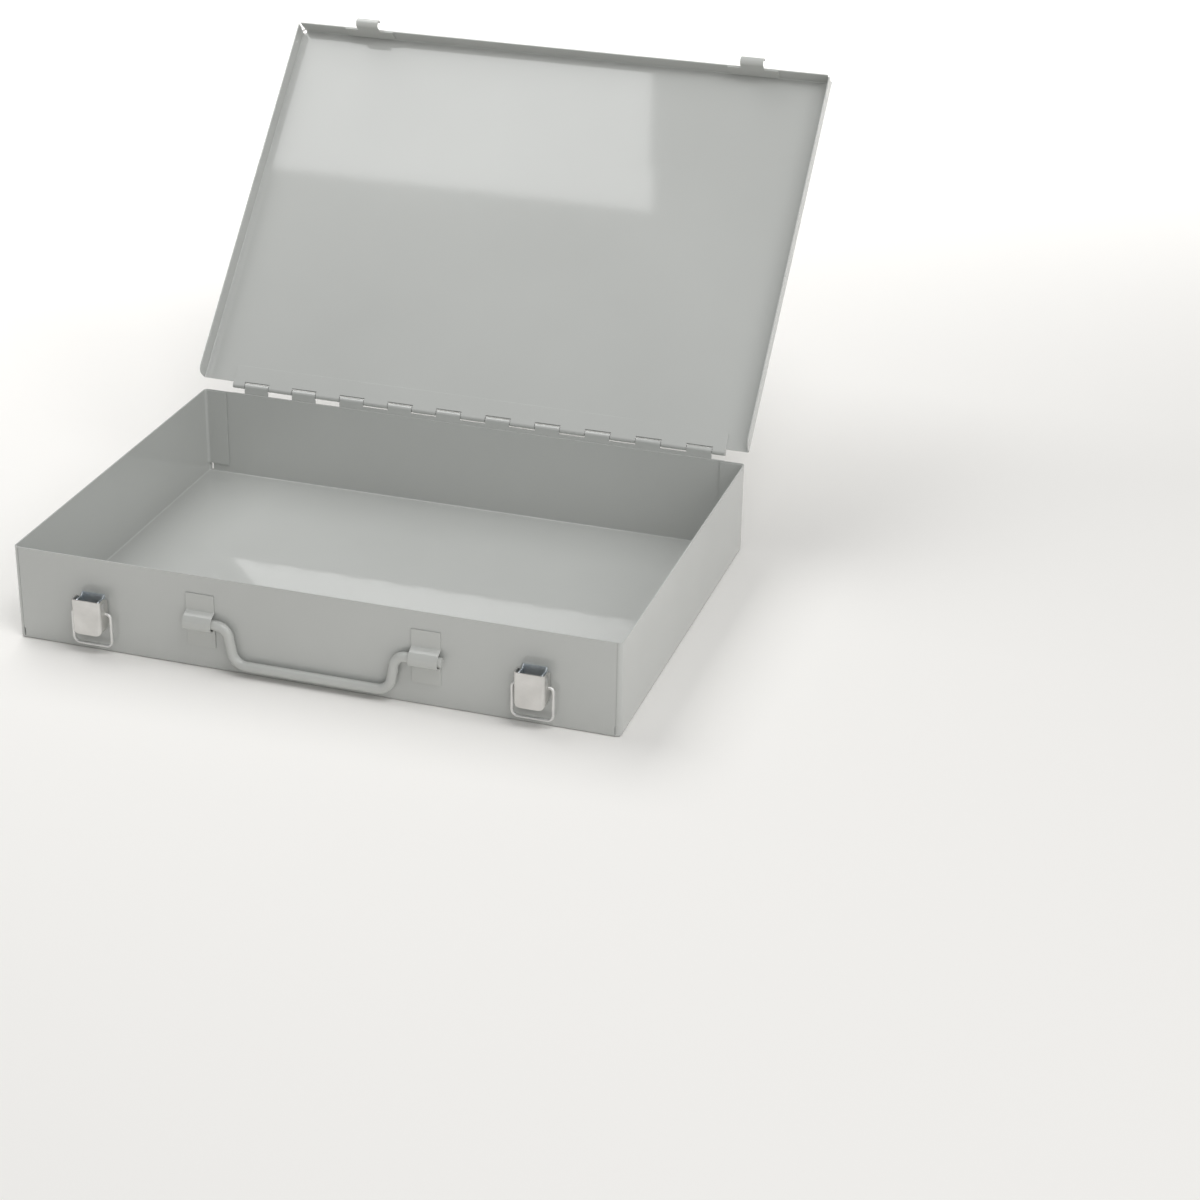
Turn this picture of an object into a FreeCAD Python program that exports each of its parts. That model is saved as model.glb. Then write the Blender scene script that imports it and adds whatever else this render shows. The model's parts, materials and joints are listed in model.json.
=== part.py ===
"""Shallow sheet-steel assortment case with a hinged lid.

Frame: +X to the right, +Y to the back, +Z up, millimetres. The origin is the centre of the base's
underside. The lid is stored open, leaning back; the handle, the levers and the wire bails hang down.
"""
import FreeCAD, Part
import os
from math import atan2, cos, radians, sin, tan

Vector = FreeCAD.Vector

# ---- driving dimensions -------------------------------------------------------------------------
SHEET = 0.8                 # steel sheet of the case and of the hinge leaves
CASE_WIDTH = 440.0
CASE_DEPTH = 310.0
CASE_HEIGHT = 70.0          # floor underside to the rim
FLOOR_BEND = 1.8            # outside radius between floor and walls
CORNER_BEND = 3.2           # outside radius of the upright corners
TAB_LENGTH = 18.0           # ends of the side walls, folded behind the front and back walls
TAB_BELOW_RIM = 0.5
TAB_ABOVE_FLOOR = 7.0
TAB_GAP = 0.4               # air between a tab and the wall that it lies behind
SLOT_WIDTH = 1.2            # open slot at the foot of each upright corner
SEAM_WIDTH = 0.35           # joint line where the front and back walls end
SEAM_DEPTH = 0.35

LID_OPEN_ANGLE = 134.0      # how far the lid is open as stored, from closed
LID_SIDE_GAP = 1.2          # air between a side wall and the lid's flange
LID_FRONT_GAP = 1.4         # air between the front wall and the lid's flange
LID_FLANGE = 13.0           # flange height, with the panel's thickness
LID_BEND = 1.6
LID_REAR_SETBACK = 2.5      # hinge axis to the panel's rear edge
LID_CORNER_NOTCH = 1.8      # gap between neighbouring flanges
LID_CORNER_HOLE = 3.2       # relief hole at the same corner
LID_CORNER_HOLE_DEPTH = 7.0 # how far down from the panel's face it reaches
LID_REAR_ROUND = 6.5        # rounded lower rear corner of each side flange
PAINT_HOLE = 2.2            # hanging hole in the left flange
PAINT_HOLE_FROM_FRONT = 15.0
PAINT_HOLE_FROM_EDGE = 5.0

BARREL_RADIUS = 2.3         # rolled knuckles of the piano hinge
PIN_CLEARANCE = 0.06
HINGE_RISE = 5.6            # rim to hinge axis
HINGE_LENGTH = 400.0
HINGE_CENTRE_X = 4.0
KNUCKLE_PITCH = 40.0
KNUCKLE_GAP = 0.5           # air between neighbouring knuckles
LEAF_REACH = 16.0           # hinge axis to the leaf's far edge
LEAF_CORNER = 2.0
LID_LEAF_NOTCH = 2.8        # axis to the foot of a notch, lid leaf
BASE_LEAF_NOTCH = 2.6       # the same, base leaf
BASE_LEAF_DEEP_NOTCH = 5.6  # the same, where a notch goes down to the rim
BASE_LEAF_DEEP_NOTCHES = (0, 1, 2, 10)  # which notches do, counted from the left

LATCH_X = 160.5             # both latches, left and right of the middle
LEVER_PIVOT_OUT = 8.0       # lever pivot, out from the front wall
LEVER_PIVOT_Z = 39.0
BAIL_PIVOT_OUT = 5.0        # bail pivot, nearer the wall, so that the latch locks over centre
BAIL_PIVOT_Z = 31.5
LATCH_SHEET = 1.0
LEVER_WIDTH = 22.0
LEVER_DEPTH = 13.0          # wall to the lever's face
LEVER_BACK = 1.6            # wall to the rear edge of the lever's flanges
LEVER_TOP_Z = 43.2
LEVER_FOOT_Z = 17.6
LEVER_BEND = 2.5
LEVER_FOOT_ROUND = 5.0
LEVER_REAR_FOOT_ROUND = 9.0 # lower rear corner of each flange
LEVER_REAR_RISE = 1.5       # pivot to where the flanges' top rear corner is cut back
LEVER_TOP_OUT = 5.0         # wall to the flanges' rear edge at the top
LEVER_TOP_ROUND = 2.0
EAR_WIDTH = 17.0            # outside width of the latch bracket
EAR_RADIUS = 3.4
EAR_NECK_OUT = 3.0          # where the ear's upper edge meets its slope, out from the wall
EAR_NECK_RISE = 3.0         # the same point, above the pivot
EAR_HEEL_OUT = 2.5          # where its lower edge does
EAR_HEEL_RISE = 7.0         # the same point, above the bracket's foot
BRACKET_TOP_Z = 44.2
BRACKET_FOOT_Z = 24.0
LATCH_PIN_RADIUS = 1.5
LATCH_PIN_HEAD_RADIUS = 3.0
LATCH_PIN_HEAD_HEIGHT = 0.7
LATCH_PIN_HEAD_TAPER = 0.6  # head's outer radius as a share of its inner one
BAIL_WIRE_RADIUS = 1.1
BAIL_HALF_WIDTH = 14.4      # centre line
BAIL_DROP = 24.5            # pivot to the bar
BAIL_SHOULDER = 2.8
BAIL_FOOT_ROUND = 4.5
BAIL_END_INSIDE = 0.8       # how far a wire end passes the flange

HOOK_SHEET = 1.0
HOOK_PLATE_WIDTH = 41.0
HOOK_TONGUE_WIDTH = 18.5
HOOK_PLATE_ROUND = 3.0
HOOK_TROUGH_RADIUS = 2.6    # inside of the curl that takes the bail's bar
HOOK_TROUGH_Z = 57.2        # centre of the curl with the lid closed
HOOK_LIP = 1.5              # straight end of the curl
HOOK_TOP_GAP = 0.2          # air between the plate's top and the lid's bend
HOOK_OVERLAP = 1.0          # how far the tongue's root runs up the plate

HANDLE_CENTRE_X = 2.0
HANDLE_BRACKET_X = 82.0     # each bracket's middle, from the handle's
HANDLE_AXIS_OUT = 3.8
HANDLE_AXIS_Z = 36.3
HANDLE_ROD_RADIUS = 3.55
HANDLE_END_PROUD = 2.0      # how far the rod's right end stands out of its bracket
HANDLE_SHOULDER_X = 61.5
HANDLE_GRIP_X = 56.5
HANDLE_GRIP_Z = 8.6
HANDLE_SHOULDER_BEND = 8.5
HANDLE_GRIP_BEND = 11.0
STRAP_SHEET = 1.0
STRAP_WIDTH = 21.0
STRAP_TOP_Z = 56.5
STRAP_FOOT_Z = 16.8
STRAP_RAMP_TOP_Z = 43.6
STRAP_RAMP_FOOT_Z = 39.9
STRAP_UNDERSIDE_Z = 31.8
STRAP_GAP = 0.2             # air between the rod and the strap
STRAP_RAMP_BEND = 2.0       # where the strap leaves the wall
STRAP_CROWN_BEND = 5.5      # over the rod
STRAP_UNDER_BEND = 3.6
STRAP_HEEL_BEND = 1.4
STRAP_HEEL_DROP = 1.0       # fall of the bulge's underside towards the wall

CUT_MARGIN = 1.0            # how far a cutting block runs past what it cuts
TOLERANCE = 1e-4

# ---- places that follow from them ---------------------------------------------------------------
FRONT_Y = -CASE_DEPTH / 2
BACK_Y = CASE_DEPTH / 2
SIDE_X = CASE_WIDTH / 2
AXIS_Y = BACK_Y + BARREL_RADIUS
AXIS_Z = CASE_HEIGHT + HINGE_RISE
PANEL_TOP_Z = AXIS_Z - BARREL_RADIUS + 2 * SHEET
LID_EDGE_Z = PANEL_TOP_Z - LID_FLANGE
LID_X = SIDE_X + LID_SIDE_GAP + SHEET
LID_FRONT_Y = FRONT_Y - LID_FRONT_GAP - SHEET
LID_REAR_Y = AXIS_Y - LID_REAR_SETBACK
SIDES = (("left", -1), ("right", 1))


# ---- helpers ------------------------------------------------------------------------------------
def box(x0, x1, y0, y1, z0, z1):
    return Part.makeBox(x1 - x0, y1 - y0, z1 - z0, Vector(x0, y0, z0))


def cylinder_x(radius, x0, x1, y, z):
    return Part.makeCylinder(radius, x1 - x0, Vector(x0, y, z), Vector(1, 0, 0))


def rounded_wire(points, radii, closed=False):
    """Straight runs through points, with a tangent arc of the given radius at each inner corner."""
    count = len(points)
    corners = range(count) if closed else range(1, count - 1)
    trimmed = {}
    arcs = {}
    for i in corners:
        here = points[i]
        back = (points[i - 1] - here).normalize()
        ahead = (points[(i + 1) % count] - here).normalize()
        radius = radii[i]
        if radius <= 0:
            trimmed[i] = (here, here)
            continue
        half = back.getAngle(ahead) / 2
        reach = radius / tan(half)
        start = here + back * reach
        end = here + ahead * reach
        middle = here + (back + ahead).normalize() * (radius / sin(half) - radius)
        trimmed[i] = (start, end)
        arcs[i] = Part.Arc(start, middle, end).toShape()
    edges = []
    for i in range(count if closed else count - 1):
        j = (i + 1) % count
        start = trimmed[i][1] if i in trimmed else points[i]
        end = trimmed[j][0] if j in trimmed else points[j]
        if (end - start).Length > TOLERANCE:
            edges.append(Part.LineSegment(start, end).toShape())
        if j in arcs:
            edges.append(arcs[j])
    return Part.Wire(Part.__sortEdges__(edges))


def plate(points, radii, direction):
    """A flat outline with rounded corners, extruded."""
    return Part.Face(rounded_wire(points, radii, closed=True)).extrude(direction)


def strip_side(line, radii, offset):
    """A centre line in (out, z), moved sideways: its points and their corner radii."""
    moved = []
    new_radii = []
    for i, (u, w) in enumerate(line):
        before = line[max(i - 1, 0)]
        after = line[min(i + 1, len(line) - 1)]
        into = (u - before[0], w - before[1]) if i > 0 else (after[0] - u, after[1] - w)
        onward = (after[0] - u, after[1] - w) if i < len(line) - 1 else into
        angle_in = atan2(into[1], into[0])
        across = into[0] * onward[1] - into[1] * onward[0]
        turn = atan2(across, into[0] * onward[0] + into[1] * onward[1])
        normal = angle_in + turn / 2 + radians(90)
        reach = offset / cos(turn / 2)
        moved.append((u + reach * cos(normal), w + reach * sin(normal)))
        new_radii.append(radii[i] - offset if turn > 0 else radii[i] + offset)
    return moved, new_radii


def strip(line, radii, thickness, x0, x1):
    """Sheet bent along a centre line given as (out from the front wall, z), from x0 to x1."""
    one, one_radii = strip_side(line, radii, thickness / 2)
    two, two_radii = strip_side(line, radii, -thickness / 2)
    ends = {0, len(line) - 1}
    outline = one + two[::-1]
    corner_radii = [0 if i in ends else r for i, r in enumerate(one_radii)]
    corner_radii += [0 if i in ends else r for i, r in enumerate(two_radii)][::-1]
    points = [Vector(x0, FRONT_Y - out, z) for out, z in outline]
    return plate(points, corner_radii, Vector(x1 - x0, 0, 0))


def rod(points, radii, radius):
    """A round rod along a path of straight runs and arcs."""
    path = rounded_wire(points, radii)
    along = points[1] - points[0]
    section = Part.Wire(Part.makeCircle(radius, points[0], along))
    return path.makePipeShell([section], True, True)


def fillet(solid, radius, wanted):
    return solid.makeFillet(radius, [edge for edge in solid.Edges if wanted(edge)])


def lies_at(edge, **coordinates):
    """True for a straight edge whose two ends have the stated coordinates."""
    ends = [vertex.Point for vertex in edge.Vertexes]
    return len(ends) == 2 and all(abs(getattr(p, axis) - value) < TOLERANCE
                                  for p in ends for axis, value in coordinates.items())


def about_hinge(solid):
    """Moves a piece drawn with the lid closed to the lid's stored place."""
    solid.rotate(Vector(0, AXIS_Y, AXIS_Z), Vector(1, 0, 0), -LID_OPEN_ANGLE)
    return solid


# ---- case ---------------------------------------------------------------------------------------
def pan(inset, floor_z, top_z, upright_radius, floor_radius):
    """A block as wide and deep as the case less an inset, rounded where the sheet is bent."""
    x = SIDE_X - inset
    y = BACK_Y - inset
    block = box(-x, x, -y, y, floor_z, top_z)
    upright = fillet(block, upright_radius, lambda e: abs(e.Vertexes[0].Z - e.Vertexes[1].Z) > TOLERANCE)
    return fillet(upright, floor_radius,
                  lambda e: all(abs(v.Z - floor_z) < TOLERANCE for v in e.Vertexes))


def tab_corner(foot, top):
    """The right rear tab, with the bend by which the side wall turns into it."""
    bend = CORNER_BEND - SHEET
    wall_x = SIDE_X - SHEET
    face_y = BACK_Y - TAB_GAP - 2 * SHEET
    tab = box(wall_x - TAB_LENGTH, wall_x, face_y - bend, face_y + SHEET, foot, top)
    room = box(0, wall_x, 0, face_y, foot - CUT_MARGIN, top + CUT_MARGIN)
    return tab.cut(fillet(room, bend, lambda e: lies_at(e, x=wall_x, y=face_y)))


def base_shell():
    outside = pan(0, 0, CASE_HEIGHT, CORNER_BEND, FLOOR_BEND)
    inside = pan(SHEET, SHEET, CASE_HEIGHT + CUT_MARGIN, CORNER_BEND - SHEET, FLOOR_BEND - SHEET)
    shell = outside.cut(inside)
    wall_end = SIDE_X - CORNER_BEND
    tab_foot = SHEET + TAB_ABOVE_FLOOR
    rear_right_tab = tab_corner(tab_foot, CASE_HEIGHT - TAB_BELOW_RIM)
    for x_sign in (-1, 1):
        for y_sign in (-1, 1):
            tab = rear_right_tab.copy()
            if x_sign < 0:
                tab = tab.mirror(Vector(0, 0, 0), Vector(1, 0, 0))
            if y_sign < 0:
                tab = tab.mirror(Vector(0, 0, 0), Vector(0, 1, 0))
            slot_x = sorted((x_sign * wall_end, x_sign * (wall_end - SLOT_WIDTH)))
            slot_y = sorted((y_sign * (BACK_Y + CUT_MARGIN), y_sign * (BACK_Y - SHEET - CUT_MARGIN)))
            slot = box(*slot_x, *slot_y, FLOOR_BEND, tab_foot)
            seam_x = sorted((x_sign * wall_end, x_sign * (wall_end - SEAM_WIDTH)))
            seam_y = sorted((y_sign * (BACK_Y + CUT_MARGIN), y_sign * (BACK_Y - SEAM_DEPTH)))
            seam = box(*seam_x, *seam_y, tab_foot, CASE_HEIGHT + CUT_MARGIN)
            shell = shell.fuse(tab).cut(slot).cut(seam)
    return shell.removeSplitter()


def lid_shell():
    outside = box(-LID_X, LID_X, LID_FRONT_Y, LID_REAR_Y, LID_EDGE_Z, PANEL_TOP_Z)
    outside = fillet(outside, LID_BEND, lambda e: lies_at(e, z=PANEL_TOP_Z, y=LID_FRONT_Y)
                     or lies_at(e, z=PANEL_TOP_Z, x=LID_X) or lies_at(e, z=PANEL_TOP_Z, x=-LID_X))
    x_in = LID_X - SHEET
    y_in = LID_FRONT_Y + SHEET
    z_in = PANEL_TOP_Z - SHEET
    inside = box(-x_in, x_in, y_in, LID_REAR_Y + CUT_MARGIN, LID_EDGE_Z - CUT_MARGIN, z_in)
    inside = fillet(inside, LID_BEND - SHEET, lambda e: lies_at(e, z=z_in, y=y_in)
                    or lies_at(e, z=z_in, x=x_in) or lies_at(e, z=z_in, x=-x_in))
    shell = outside.cut(inside)
    for sign in (-1, 1):
        corner_x = sign * (LID_X - LID_CORNER_NOTCH)
        corner_y = LID_FRONT_Y + LID_CORNER_NOTCH
        notch_x = sorted((corner_x, sign * (LID_X + CUT_MARGIN)))
        notch_y = (LID_FRONT_Y - CUT_MARGIN, corner_y)
        notch = box(*notch_x, *notch_y, LID_EDGE_Z - CUT_MARGIN, PANEL_TOP_Z - LID_BEND)
        hole_foot = Vector(corner_x, corner_y, PANEL_TOP_Z - LID_CORNER_HOLE_DEPTH)
        hole = Part.makeCylinder(LID_CORNER_HOLE / 2, LID_CORNER_HOLE_DEPTH + CUT_MARGIN, hole_foot)
        rear_round = box(-CUT_MARGIN, CUT_MARGIN, 0, LID_REAR_ROUND, 0, LID_REAR_ROUND)
        kept = cylinder_x(LID_REAR_ROUND, -2 * CUT_MARGIN, 2 * CUT_MARGIN, 0, LID_REAR_ROUND)
        rear_round = rear_round.cut(kept)
        rear_round.translate(Vector(sign * LID_X, LID_REAR_Y - LID_REAR_ROUND, LID_EDGE_Z))
        shell = shell.cut(notch).cut(hole).cut(rear_round)
    paint_hole = cylinder_x(PAINT_HOLE / 2, -LID_X - CUT_MARGIN, -LID_X + SHEET + CUT_MARGIN,
                            LID_FRONT_Y + PAINT_HOLE_FROM_FRONT, LID_EDGE_Z + PAINT_HOLE_FROM_EDGE)
    return about_hinge(shell.cut(paint_hole))


# ---- hinge --------------------------------------------------------------------------------------
def knuckle_spans(on_base):
    """The x spans of one leaf's knuckles: the lid's leaf has a half knuckle at each end."""
    start = HINGE_CENTRE_X - HINGE_LENGTH / 2
    half = KNUCKLE_PITCH / 2
    edges = [start] + [start + half / 2 + half * i for i in range(int(HINGE_LENGTH / half))]
    edges.append(start + HINGE_LENGTH)
    first = 1 if on_base else 0
    return [(edges[i], edges[i + 1]) for i in range(first, len(edges) - 1, 2)]


def hinge_leaf(on_base):
    """A leaf drawn as the base's: upright below the barrel, its front face level with the barrel's."""
    notch = BASE_LEAF_NOTCH if on_base else LID_LEAF_NOTCH
    deep_notches = BASE_LEAF_DEEP_NOTCHES if on_base else ()
    x0 = HINGE_CENTRE_X - HINGE_LENGTH / 2
    x1 = x0 + HINGE_LENGTH
    outline = [Vector(x, BACK_Y, z) for x, z in
               ((x0, AXIS_Z), (x1, AXIS_Z), (x1, AXIS_Z - LEAF_REACH), (x0, AXIS_Z - LEAF_REACH))]
    leaf = plate(outline, [0, 0, LEAF_CORNER, LEAF_CORNER], Vector(0, SHEET, 0))
    cut_y = (BACK_Y - CUT_MARGIN, BACK_Y + SHEET + CUT_MARGIN)
    for i, (a, b) in enumerate(knuckle_spans(not on_base)):
        depth = BASE_LEAF_DEEP_NOTCH if i in deep_notches else notch
        leaf = leaf.cut(box(a, b, *cut_y, AXIS_Z - depth, AXIS_Z + CUT_MARGIN))
    for a, b in knuckle_spans(on_base):
        a_end = a if a == x0 else a + KNUCKLE_GAP / 2
        b_end = b if b == x1 else b - KNUCKLE_GAP / 2
        leaf = leaf.fuse(cylinder_x(BARREL_RADIUS, a_end, b_end, AXIS_Y, AXIS_Z))
        for gap in ((a, a_end), (b_end, b)):
            if gap[0] < gap[1]:
                leaf = leaf.cut(box(*gap, *cut_y, AXIS_Z - notch, AXIS_Z + CUT_MARGIN))
    bore = BARREL_RADIUS - SHEET
    leaf = leaf.cut(cylinder_x(bore, x0 - CUT_MARGIN, x1 + CUT_MARGIN, AXIS_Y, AXIS_Z))
    return leaf.removeSplitter()


def lid_leaf():
    leaf = hinge_leaf(on_base=False)
    leaf = leaf.mirror(Vector(0, AXIS_Y, AXIS_Z), Vector(0, 1, -1).normalize())
    return about_hinge(leaf)


def hinge_pin():
    x0 = HINGE_CENTRE_X - HINGE_LENGTH / 2
    radius = BARREL_RADIUS - SHEET - PIN_CLEARANCE
    return cylinder_x(radius, x0, x0 + HINGE_LENGTH, AXIS_Y, AXIS_Z)


# ---- lid hooks ----------------------------------------------------------------------------------
def lid_hook(x):
    """A plate on the inside of the front flange, with a tongue that curls outward and up."""
    half = HOOK_PLATE_WIDTH / 2
    top = PANEL_TOP_Z - LID_BEND - HOOK_TOP_GAP
    back = FRONT_Y - LID_FRONT_GAP + HOOK_SHEET
    outline = [Vector(x - half, back, LID_EDGE_Z), Vector(x + half, back, LID_EDGE_Z),
               Vector(x + half, back, top), Vector(x - half, back, top)]
    hook = plate(outline, [0, 0, HOOK_PLATE_ROUND, HOOK_PLATE_ROUND], Vector(0, -HOOK_SHEET, 0))
    mid = LID_FRONT_GAP - HOOK_SHEET / 2
    bend = HOOK_TROUGH_RADIUS + HOOK_SHEET / 2
    far = mid + 2 * bend
    foot = HOOK_TROUGH_Z - bend
    line = [(mid, LID_EDGE_Z + HOOK_OVERLAP), (mid, foot), (far, foot), (far, HOOK_TROUGH_Z + HOOK_LIP)]
    tongue_half = HOOK_TONGUE_WIDTH / 2
    tongue = strip(line, [0, bend, bend, 0], HOOK_SHEET, x - tongue_half, x + tongue_half)
    return about_hinge(hook.fuse(tongue).removeSplitter())


# ---- latches ------------------------------------------------------------------------------------
def latch_bracket(x):
    """A back plate on the front wall, with an ear on each side that holds the lever's pin."""
    half = EAR_WIDTH / 2
    pivot_y = FRONT_Y - LEVER_PIVOT_OUT
    solid = box(x - half, x + half, FRONT_Y - LATCH_SHEET, FRONT_Y, BRACKET_FOOT_Z, BRACKET_TOP_Z)
    side = [(0, BRACKET_TOP_Z), (LATCH_SHEET, BRACKET_TOP_Z),
            (EAR_NECK_OUT, LEVER_PIVOT_Z + EAR_NECK_RISE),
            (LEVER_PIVOT_OUT, LEVER_PIVOT_Z + EAR_RADIUS),
            (LEVER_PIVOT_OUT, LEVER_PIVOT_Z - EAR_RADIUS),
            (EAR_HEEL_OUT, BRACKET_FOOT_Z + EAR_HEEL_RISE), (0, BRACKET_FOOT_Z)]
    for x0 in (x - half, x + half - LATCH_SHEET):
        points = [Vector(x0, FRONT_Y - out, z) for out, z in side]
        ear = plate(points, [0] * len(points), Vector(LATCH_SHEET, 0, 0))
        ear = ear.fuse(cylinder_x(EAR_RADIUS, x0, x0 + LATCH_SHEET, pivot_y, LEVER_PIVOT_Z))
        solid = solid.fuse(ear)
    reach = half + CUT_MARGIN
    hole = cylinder_x(LATCH_PIN_RADIUS, x - reach, x + reach, pivot_y, LEVER_PIVOT_Z)
    return solid.cut(hole).removeSplitter()


def latch_pin(x):
    """A rivet through both ears and both flanges of the lever, with a low head on each side."""
    half = LEVER_WIDTH / 2 + PIN_CLEARANCE
    pivot_y = FRONT_Y - LEVER_PIVOT_OUT
    pin = cylinder_x(LATCH_PIN_RADIUS, x - half, x + half, pivot_y, LEVER_PIVOT_Z)
    for x0, sign in ((x - half, -1), (x + half, 1)):
        head = Part.makeCone(LATCH_PIN_HEAD_RADIUS, LATCH_PIN_HEAD_RADIUS * LATCH_PIN_HEAD_TAPER,
                             LATCH_PIN_HEAD_HEIGHT, Vector(x0, pivot_y, LEVER_PIVOT_Z),
                             Vector(sign, 0, 0))
        pin = pin.fuse(head)
    return pin


def latch_lever(x):
    """A channel, open at the back, top and foot, with rounded lower corners."""
    half = LEVER_WIDTH / 2
    front = FRONT_Y - LEVER_DEPTH
    rear = FRONT_Y - LEVER_BACK
    height = Vector(0, 0, LEVER_TOP_Z - LEVER_FOOT_Z)
    reach = half + CUT_MARGIN

    def channel_block(inset, bend, rear_y):
        near = half - inset
        face_y = front + inset
        corners = ((-near, rear_y), (-near, face_y), (near, face_y), (near, rear_y))
        points = [Vector(x + dx, y, LEVER_FOOT_Z) for dx, y in corners]
        return plate(points, [0, bend, bend, 0], height)

    channel = channel_block(0, LEVER_BEND, rear)
    channel = channel.cut(channel_block(LATCH_SHEET, LEVER_BEND - LATCH_SHEET, rear + CUT_MARGIN))
    face_corners = ((-half, LEVER_TOP_Z), (-half, LEVER_FOOT_Z), (half, LEVER_FOOT_Z), (half, LEVER_TOP_Z))
    face = [Vector(x + dx, front - CUT_MARGIN, z) for dx, z in face_corners]
    face_run = Vector(0, LEVER_DEPTH + 2 * CUT_MARGIN, 0)
    channel = channel.common(plate(face, [0, LEVER_FOOT_ROUND, LEVER_FOOT_ROUND, 0], face_run))
    # The top rear of the flanges is cut back, so that they clear the bracket's plate as the lever swings.
    side = [(LEVER_DEPTH + CUT_MARGIN, LEVER_TOP_Z + CUT_MARGIN),
            (LEVER_DEPTH + CUT_MARGIN, LEVER_FOOT_Z - CUT_MARGIN),
            (LEVER_BACK, LEVER_FOOT_Z - CUT_MARGIN),
            (LEVER_BACK, LEVER_PIVOT_Z + LEVER_REAR_RISE),
            (LEVER_TOP_OUT, LEVER_TOP_Z), (LEVER_TOP_OUT, LEVER_TOP_Z + CUT_MARGIN)]
    points = [Vector(x - reach, FRONT_Y - out, z) for out, z in side]
    rounds = [0, 0, LEVER_REAR_FOOT_ROUND, LEVER_TOP_ROUND, 0, 0]
    channel = channel.common(plate(points, rounds, Vector(2 * reach, 0, 0)))
    pin_hole = cylinder_x(LATCH_PIN_RADIUS + PIN_CLEARANCE, x - reach, x + reach,
                          FRONT_Y - LEVER_PIVOT_OUT, LEVER_PIVOT_Z)
    bail_hole = cylinder_x(BAIL_WIRE_RADIUS + PIN_CLEARANCE, x - reach, x + reach,
                           FRONT_Y - BAIL_PIVOT_OUT, BAIL_PIVOT_Z)
    return channel.cut(pin_hole).cut(bail_hole)


def latch_bail(x):
    """An open wire loop, its two ends held in the lever's flanges."""
    y = FRONT_Y - BAIL_PIVOT_OUT
    end = LEVER_WIDTH / 2 - LATCH_SHEET - BAIL_END_INSIDE
    foot = BAIL_PIVOT_Z - BAIL_DROP
    corners = ((-end, BAIL_PIVOT_Z), (-BAIL_HALF_WIDTH, BAIL_PIVOT_Z), (-BAIL_HALF_WIDTH, foot),
               (BAIL_HALF_WIDTH, foot), (BAIL_HALF_WIDTH, BAIL_PIVOT_Z), (end, BAIL_PIVOT_Z))
    points = [Vector(x + dx, y, z) for dx, z in corners]
    radii = [0, BAIL_SHOULDER, BAIL_FOOT_ROUND, BAIL_FOOT_ROUND, BAIL_SHOULDER, 0]
    return rod(points, radii, BAIL_WIRE_RADIUS)


# ---- handle -------------------------------------------------------------------------------------
def handle_bracket(x):
    """One strap: flat at both ends, bulged out in the middle over the handle's rod."""
    flat = STRAP_SHEET / 2
    out = HANDLE_AXIS_OUT + HANDLE_ROD_RADIUS + STRAP_GAP + STRAP_SHEET / 2
    line = [(flat, STRAP_TOP_Z), (flat, STRAP_RAMP_TOP_Z), (out, STRAP_RAMP_FOOT_Z),
            (out, STRAP_UNDERSIDE_Z), (flat, STRAP_UNDERSIDE_Z - STRAP_HEEL_DROP), (flat, STRAP_FOOT_Z)]
    bends = [0, STRAP_RAMP_BEND, STRAP_CROWN_BEND, STRAP_UNDER_BEND, STRAP_HEEL_BEND, 0]
    half = STRAP_WIDTH / 2
    return strip(line, bends, STRAP_SHEET, x - half, x + half)


def carry_handle():
    y = FRONT_Y - HANDLE_AXIS_OUT
    end = HANDLE_BRACKET_X + STRAP_WIDTH / 2
    corners = [(-end, HANDLE_AXIS_Z), (-HANDLE_SHOULDER_X, HANDLE_AXIS_Z),
               (-HANDLE_GRIP_X, HANDLE_GRIP_Z), (HANDLE_GRIP_X, HANDLE_GRIP_Z),
               (HANDLE_SHOULDER_X, HANDLE_AXIS_Z), (end + HANDLE_END_PROUD, HANDLE_AXIS_Z)]
    points = [Vector(HANDLE_CENTRE_X + dx, y, z) for dx, z in corners]
    radii = [0, HANDLE_SHOULDER_BEND, HANDLE_GRIP_BEND, HANDLE_GRIP_BEND, HANDLE_SHOULDER_BEND, 0]
    return rod(points, radii, HANDLE_ROD_RADIUS)


# ---- output -------------------------------------------------------------------------------------
def all_nodes():
    nodes = {
        "base_shell": base_shell(),
        "lid_shell": lid_shell(),
        "hinge_leaf_base": hinge_leaf(on_base=True),
        "hinge_leaf_lid": lid_leaf(),
        "hinge_pin": hinge_pin(),
        "carry_handle": carry_handle(),
    }
    for side, sign in SIDES:
        x = sign * LATCH_X
        nodes["lid_hook_" + side] = lid_hook(x)
        nodes["latch_bracket_" + side] = latch_bracket(x)
        nodes["latch_pin_" + side] = latch_pin(x)
        nodes["latch_lever_" + side] = latch_lever(x)
        nodes["latch_bail_" + side] = latch_bail(x)
        nodes["handle_bracket_" + side] = handle_bracket(HANDLE_CENTRE_X + sign * HANDLE_BRACKET_X)
    return nodes


os.makedirs("parts", exist_ok=True)
for name, shape in all_nodes().items():
    bounds = shape.BoundBox
    print(f"{name:22s} solids {len(shape.Solids)} valid {shape.isValid()} volume {shape.Volume:10.1f} "
          f"x {bounds.XMin:.1f}..{bounds.XMax:.1f} y {bounds.YMin:.1f}..{bounds.YMax:.1f} "
          f"z {bounds.ZMin:.1f}..{bounds.ZMax:.1f}")
    shape.exportStep(f"parts/{name}.step")
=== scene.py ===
"""Looks of the sheet-steel assortment case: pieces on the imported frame, floor, lights and camera.

Metres, in the row's frame: +X to the right, +Y to the hinge side, +Z up. Each piece is a copy of its CAD
node with softened edges, so that shape and place come from the frame.
"""
import json
from math import cos, radians, sin

import bmesh
import bpy
from mathutils import Matrix, Vector


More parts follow.
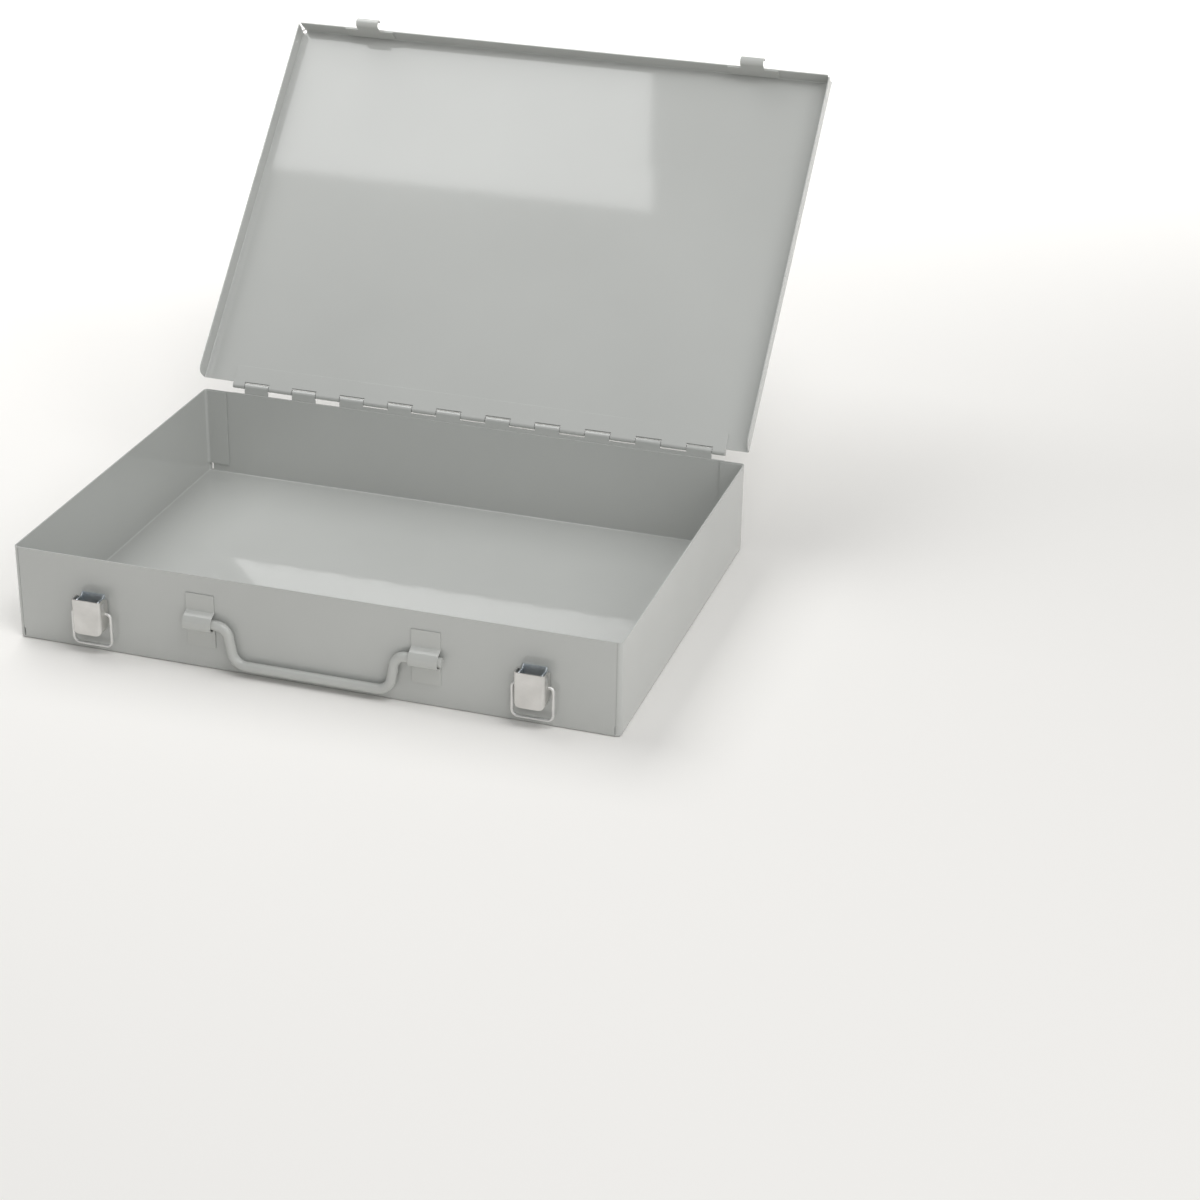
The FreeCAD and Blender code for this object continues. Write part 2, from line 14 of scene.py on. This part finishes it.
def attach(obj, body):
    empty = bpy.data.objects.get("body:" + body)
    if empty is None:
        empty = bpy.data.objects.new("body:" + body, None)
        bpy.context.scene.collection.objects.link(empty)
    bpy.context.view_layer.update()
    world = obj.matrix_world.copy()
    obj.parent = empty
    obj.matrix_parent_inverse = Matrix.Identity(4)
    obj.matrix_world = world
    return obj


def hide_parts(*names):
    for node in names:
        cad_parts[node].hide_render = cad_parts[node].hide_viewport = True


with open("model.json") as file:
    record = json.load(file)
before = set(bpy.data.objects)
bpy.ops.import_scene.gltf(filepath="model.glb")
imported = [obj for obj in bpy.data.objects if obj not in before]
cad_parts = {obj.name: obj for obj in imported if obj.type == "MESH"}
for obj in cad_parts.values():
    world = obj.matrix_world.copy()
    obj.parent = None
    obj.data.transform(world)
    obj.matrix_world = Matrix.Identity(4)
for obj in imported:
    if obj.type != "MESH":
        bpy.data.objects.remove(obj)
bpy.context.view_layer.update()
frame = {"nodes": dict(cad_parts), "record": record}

# ---- camera -------------------------------------------------------------------------------------
CAMERA_PLACE = Vector((0.6594, -1.6387, 0.8677))
CAMERA_AZIMUTH = 17.06
CAMERA_ELEVATION = 26.35
CAMERA_ROLL = 1.105
CAMERA_LENS = 80.75         # mm
CAMERA_SENSOR = 36.0        # mm wide

# ---- edges --------------------------------------------------------------------------------------
MILLIMETRE = 0.001
SHARP_ANGLE = radians(28)
FLAT_ANGLE = radians(0.4)
MERGE_DISTANCE = 2e-6
BEVEL_STEPS = 2
# Edge rounding of each kind of piece, in millimetres: cut edges are softened by paint or plating.
EDGE_ROUND = {
    "base_shell": 0.2,
    "lid_shell": 0.2,
    "hinge_leaf": 0.12,
    "hinge_pin": 0.2,
    "carry_handle": 0.35,
    "lid_hook": 0.22,
    "latch_bracket": 0.16,
    "latch_pin": 0.14,
    "latch_lever": 0.2,
    "latch_bail": 0.2,
    "handle_bracket": 0.45,
}


def edge_round(node):
    return next(size for kind, size in EDGE_ROUND.items() if node.startswith(kind)) * MILLIMETRE


# ---- materials ----------------------------------------------------------------------------------
# Linear colours; noise scales are per metre, and depths of bumps are in metres.
GREY = (0.508, 0.518, 0.500)
FITTING_GREY = (0.515, 0.524, 0.503)
DARK_DRIFT = 0.965          # darkest and lightest tone of the paint, as shares of its colour
LIGHT_DRIFT = 1.03
DRIFT_STOPS = (0.3, 0.7)
DRIFT_SCALE = 5.5
GLOSS_SCALE = 38.0
GLOSS_SPREAD = 0.05         # how far the paint's roughness drifts to either side
COAT_IOR = 1.6
UNDERCOAT_SPECULAR = 0.15

PIN_COLOUR = (0.55, 0.55, 0.54)
PIN_LINE_STRETCH = 0.04     # how fast the pin's noise runs along it, as a share of across it
PIN_LINE_SCALE = 9000.0
PIN_ROUGHNESS = (0.25, 0.42)
PIN_LINE_DEPTH = 4e-6

# Dullest and brightest tone of each plated piece.
BRACKET_TONES = ((0.70, 0.75, 0.80), (0.78, 0.83, 0.88))
LEVER_TONES = ((0.64, 0.63, 0.61), (0.72, 0.71, 0.69))
WIRE_TONES = ((0.72, 0.72, 0.71), (0.82, 0.815, 0.80))
RIVET_TONES = ((0.56, 0.56, 0.55), (0.66, 0.655, 0.645))
CLOUD_STOPS = (0.35, 0.65)
CLOUD_SCALE = 70.0
PLATING_GLOSS_SCALE = 160.0
PLATING_GLOSS_SPREAD = 0.08

FLOOR_COLOUR = (0.935, 0.92, 0.895)
FLOOR_ROUGHNESS = 0.9
FLOOR_SPECULAR = 0.1


class Nodes:
    """Adds shader nodes to one material and links them."""

    def __init__(self, name):
        self.material = bpy.data.materials.new(name)
        self.material.use_nodes = True
        self.tree = self.material.node_tree
        self.shader = self.tree.nodes["Principled BSDF"]

    def add(self, kind):
        return self.tree.nodes.new(kind)

    def link(self, source, output, target, socket):
        self.tree.links.new(source.outputs[output], target.inputs[socket])

    def noise(self, place, scale, detail):
        node = self.add("ShaderNodeTexNoise")
        node.inputs["Scale"].default_value = scale
        node.inputs["Detail"].default_value = detail
        self.link(place, "Object", node, "Vector")
        return node

    def ramp(self, source, stops, colours):
        """Two colours, and the blend between their stops."""
        node = self.add("ShaderNodeValToRGB")
        for element, position, colour in zip(node.color_ramp.elements, stops, colours):
            element.position = position
            element.color = (*colour, 1)
        self.link(source, "Fac", node, "Fac")
        return node

    def spread(self, source, low, high):
        node = self.add("ShaderNodeMapRange")
        node.inputs["To Min"].default_value = low
        node.inputs["To Max"].default_value = high
        self.link(source, "Fac", node, "Value")
        return node

    def bump(self, height, depth):
        node = self.add("ShaderNodeBump")
        node.inputs["Distance"].default_value = depth
        self.link(height, "Fac", node, "Height")
        self.link(node, "Normal", self.shader, "Normal")
        return node


def powder_paint(name, colour, rough, coat, coat_rough, peel_scale, peel_depth):
    """Semi-gloss powder paint: a faint orange peel, and slight drifts of tone and gloss."""
    make = Nodes(name)
    place = make.add("ShaderNodeTexCoord")
    dark = [DARK_DRIFT * c for c in colour]
    light = [LIGHT_DRIFT * c for c in colour]
    drift = make.noise(place, DRIFT_SCALE, detail=3.0)
    make.link(make.ramp(drift, DRIFT_STOPS, (dark, light)), "Color", make.shader, "Base Color")
    gloss = make.noise(place, GLOSS_SCALE, detail=4.0)
    roughness = make.spread(gloss, rough - GLOSS_SPREAD, rough + GLOSS_SPREAD)
    make.link(roughness, "Result", make.shader, "Roughness")
    make.shader.inputs["Coat Weight"].default_value = coat
    make.shader.inputs["Coat Roughness"].default_value = coat_rough
    make.shader.inputs["Coat IOR"].default_value = COAT_IOR
    make.shader.inputs["Specular IOR Level"].default_value = UNDERCOAT_SPECULAR
    peel = make.noise(place, peel_scale, detail=2.5)
    make.link(make.bump(peel, peel_depth), "Normal", make.shader, "Coat Normal")
    return make.material


def bare_steel(name):
    """Drawn steel wire stock: fine lines along the pin, a little uneven in gloss."""
    make = Nodes(name)
    place = make.add("ShaderNodeTexCoord")
    stretch = make.add("ShaderNodeMapping")
    stretch.inputs["Scale"].default_value = (PIN_LINE_STRETCH, 1.0, 1.0)
    make.link(place, "Object", stretch, "Vector")
    lines = make.add("ShaderNodeTexNoise")
    lines.inputs["Scale"].default_value = PIN_LINE_SCALE
    lines.inputs["Detail"].default_value = 2.0
    make.link(stretch, "Vector", lines, "Vector")
    make.shader.inputs["Base Color"].default_value = (*PIN_COLOUR, 1)
    make.shader.inputs["Metallic"].default_value = 1.0
    make.link(make.spread(lines, *PIN_ROUGHNESS), "Result", make.shader, "Roughness")
    make.bump(lines, PIN_LINE_DEPTH)
    return make.material


def plated_steel(name, tones, rough, grain_scale, grain_depth):
    """Satin zinc plating: a fine matt grain, a little cloudy in tone and gloss."""
    make = Nodes(name)
    place = make.add("ShaderNodeTexCoord")
    clouds = make.noise(place, CLOUD_SCALE, detail=3.0)
    make.link(make.ramp(clouds, CLOUD_STOPS, tones), "Color", make.shader, "Base Color")
    make.shader.inputs["Metallic"].default_value = 1.0
    gloss = make.noise(place, PLATING_GLOSS_SCALE, detail=4.0)
    roughness = make.spread(gloss, rough - PLATING_GLOSS_SPREAD, rough + PLATING_GLOSS_SPREAD)
    make.link(roughness, "Result", make.shader, "Roughness")
    make.bump(make.noise(place, grain_scale, detail=2.0), grain_depth)
    return make.material


FINISHES = {
    "case_paint": powder_paint("case_paint", GREY, rough=0.42, coat=1.0, coat_rough=0.05,
                               peel_scale=420.0, peel_depth=3e-6),
    "hinge_paint": powder_paint("hinge_paint", GREY, rough=0.42, coat=0.9, coat_rough=0.06,
                                peel_scale=700.0, peel_depth=5e-6),
    "fitting_paint": powder_paint("fitting_paint", FITTING_GREY, rough=0.40, coat=0.9, coat_rough=0.12,
                                  peel_scale=700.0, peel_depth=5e-6),
    "handle_paint": powder_paint("handle_paint", FITTING_GREY, rough=0.42, coat=0.9, coat_rough=0.22,
                                 peel_scale=700.0, peel_depth=7e-6),
    "bracket_plating": plated_steel("bracket_plating", BRACKET_TONES, rough=0.34,
                                    grain_scale=1500.0, grain_depth=2e-6),
    "lever_plating": plated_steel("lever_plating", LEVER_TONES, rough=0.42,
                                  grain_scale=1500.0, grain_depth=2e-6),
    "wire_plating": plated_steel("wire_plating", WIRE_TONES, rough=0.46,
                                 grain_scale=1800.0, grain_depth=2e-6),
    "rivet_plating": plated_steel("rivet_plating", RIVET_TONES, rough=0.40,
                                  grain_scale=1800.0, grain_depth=2e-6),
    "pin_steel": bare_steel("pin_steel"),
}


# ---- pieces -------------------------------------------------------------------------------------
def apply_modifier(piece, modifier):
    with bpy.context.temp_override(object=piece, active_object=piece, selected_objects=[piece]):
        bpy.ops.object.modifier_apply(modifier=modifier.name)


def softened(node):
    """A copy of a CAD node's mesh, its flat faces joined up again and its sharp edges rounded."""
    source = frame["nodes"][node]
    mesh = bpy.data.meshes.new(node + "_painted")
    shape = bmesh.new()
    shape.from_mesh(source.data)
    bmesh.ops.remove_doubles(shape, verts=shape.verts, dist=MERGE_DISTANCE)
    bmesh.ops.dissolve_limit(shape, angle_limit=FLAT_ANGLE, verts=shape.verts, edges=shape.edges)
    shape.to_mesh(mesh)
    shape.free()
    piece = bpy.data.objects.new(node + "_painted", mesh)
    bpy.context.scene.collection.objects.link(piece)
    bevel = piece.modifiers.new("edges", "BEVEL")
    bevel.width = edge_round(node)
    bevel.segments = BEVEL_STEPS
    bevel.limit_method = "ANGLE"
    bevel.angle_limit = SHARP_ANGLE
    bevel.use_clamp_overlap = True
    bpy.context.view_layer.objects.active = piece
    apply_modifier(piece, bevel)
    piece.data.shade_smooth()
    piece.data.set_sharp_from_angle(angle=SHARP_ANGLE)
    normals = piece.modifiers.new("normals", "WEIGHTED_NORMAL")
    normals.keep_sharp = True
    apply_modifier(piece, normals)
    return piece


body_of_node = {n: body for body, members in frame["record"]["behaviour"]["bodies"].items() for n in members}
slot_of_node = {part["node"]: part["material_slot"] for part in frame["record"]["subparts"]}
for node in sorted(frame["nodes"]):
    piece = softened(node)
    piece.data.materials.append(FINISHES[slot_of_node[node]])
    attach(piece, body_of_node[node])
    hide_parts(node)

# ---- floor and lights ---------------------------------------------------------------------------
FLOOR_HALF = 6.0
AMBIENT_COLOUR = (0.99, 1.0, 1.0)
AMBIENT_STRENGTH = 0.30

floor_mesh = bpy.data.meshes.new("floor")
corners = [(-FLOOR_HALF, -FLOOR_HALF, 0), (FLOOR_HALF, -FLOOR_HALF, 0),
           (FLOOR_HALF, FLOOR_HALF, 0), (-FLOOR_HALF, FLOOR_HALF, 0)]
floor_mesh.from_pydata(corners, [], [(0, 1, 2, 3)])
floor = bpy.data.objects.new("floor", floor_mesh)
bpy.context.scene.collection.objects.link(floor)
floor_look = Nodes("pale_floor")
floor_look.shader.inputs["Base Color"].default_value = (*FLOOR_COLOUR, 1)
floor_look.shader.inputs["Roughness"].default_value = FLOOR_ROUGHNESS
floor_look.shader.inputs["Specular IOR Level"].default_value = FLOOR_SPECULAR
floor_mesh.materials.append(floor_look.material)

world = bpy.data.worlds.new("studio")
world.use_nodes = True
sky = world.node_tree.nodes["Background"]
sky.inputs["Color"].default_value = (*AMBIENT_COLOUR, 1)
sky.inputs["Strength"].default_value = AMBIENT_STRENGTH
bpy.context.scene.world = world


def soft_box(name, place, target, size, power):
    """A rectangular light facing a target, its size in metres and its power in watts."""
    light = bpy.data.lights.new(name, "AREA")
    light.shape = "RECTANGLE"
    light.size, light.size_y = size
    light.energy = power
    lamp = bpy.data.objects.new(name, light)
    lamp.location = place
    lamp.rotation_euler = (Vector(target) - Vector(place)).to_track_quat("-Z", "Y").to_euler()
    bpy.context.scene.collection.objects.link(lamp)


# The overhead box's right and front edges are where its image on the stored lid ends. The box behind it
# makes the bright strip on the case's floor, by way of the lid. The key and the two boxes on the right
# stand where the stored lid doesn't mirror them to the camera. The two ground boxes face away from the
# case and light the ground behind it and in front of it. The powers lie between two fits to the
# photograph's tones, except the front ground box's, which is the rear one's.
soft_box("overhead_box", (-1.0, 0.28, 1.6), (-1.0, 0.28, 0), (1.4, 1.04), 11.9)
soft_box("rear_overhead_box", (-1.0, 1.25, 1.6), (-1.0, 1.25, 0), (1.4, 0.9), 12.2)
soft_box("key_box", (0.9, -0.9, 2.4), (0.1, 0, 0), (1.0, 1.0), 16.6)
soft_box("right_high_box", (2.2, -0.4, 2.0), (0, 0, 0.1), (1.2, 1.2), 12.2)
soft_box("right_front_box", (2.0, -2.2, 1.3), (0, 0, 0.1), (2.4, 1.8), 14.3)
soft_box("rear_ground_box", (0.5, 1.6, 1.3), (0.2, 3.0, 0), (3.0, 0.6), 26.6)
soft_box("front_ground_box", (0, -2.2, 1.3), (0, -3.6, 0), (3.0, 0.6), 26.6)

bpy.context.scene.view_settings.view_transform = "Standard"

# ---- camera object ------------------------------------------------------------------------------
azimuth = radians(CAMERA_AZIMUTH)
elevation = radians(CAMERA_ELEVATION)
roll = radians(CAMERA_ROLL)
back = Vector((sin(azimuth) * cos(elevation), -cos(azimuth) * cos(elevation), sin(elevation)))
right = Vector((cos(azimuth), sin(azimuth), 0))
up = back.cross(right)
across = right * cos(roll) + up * sin(roll)
upright = up * cos(roll) - right * sin(roll)
camera_data = bpy.data.cameras.new("camera")
camera_data.lens = CAMERA_LENS
camera_data.sensor_width = CAMERA_SENSOR
camera = bpy.data.objects.new("camera", camera_data)
turned = Matrix((across, upright, back)).transposed().to_4x4()
camera.matrix_world = Matrix.Translation(CAMERA_PLACE) @ turned
bpy.context.scene.collection.objects.link(camera)
bpy.context.scene.camera = camera
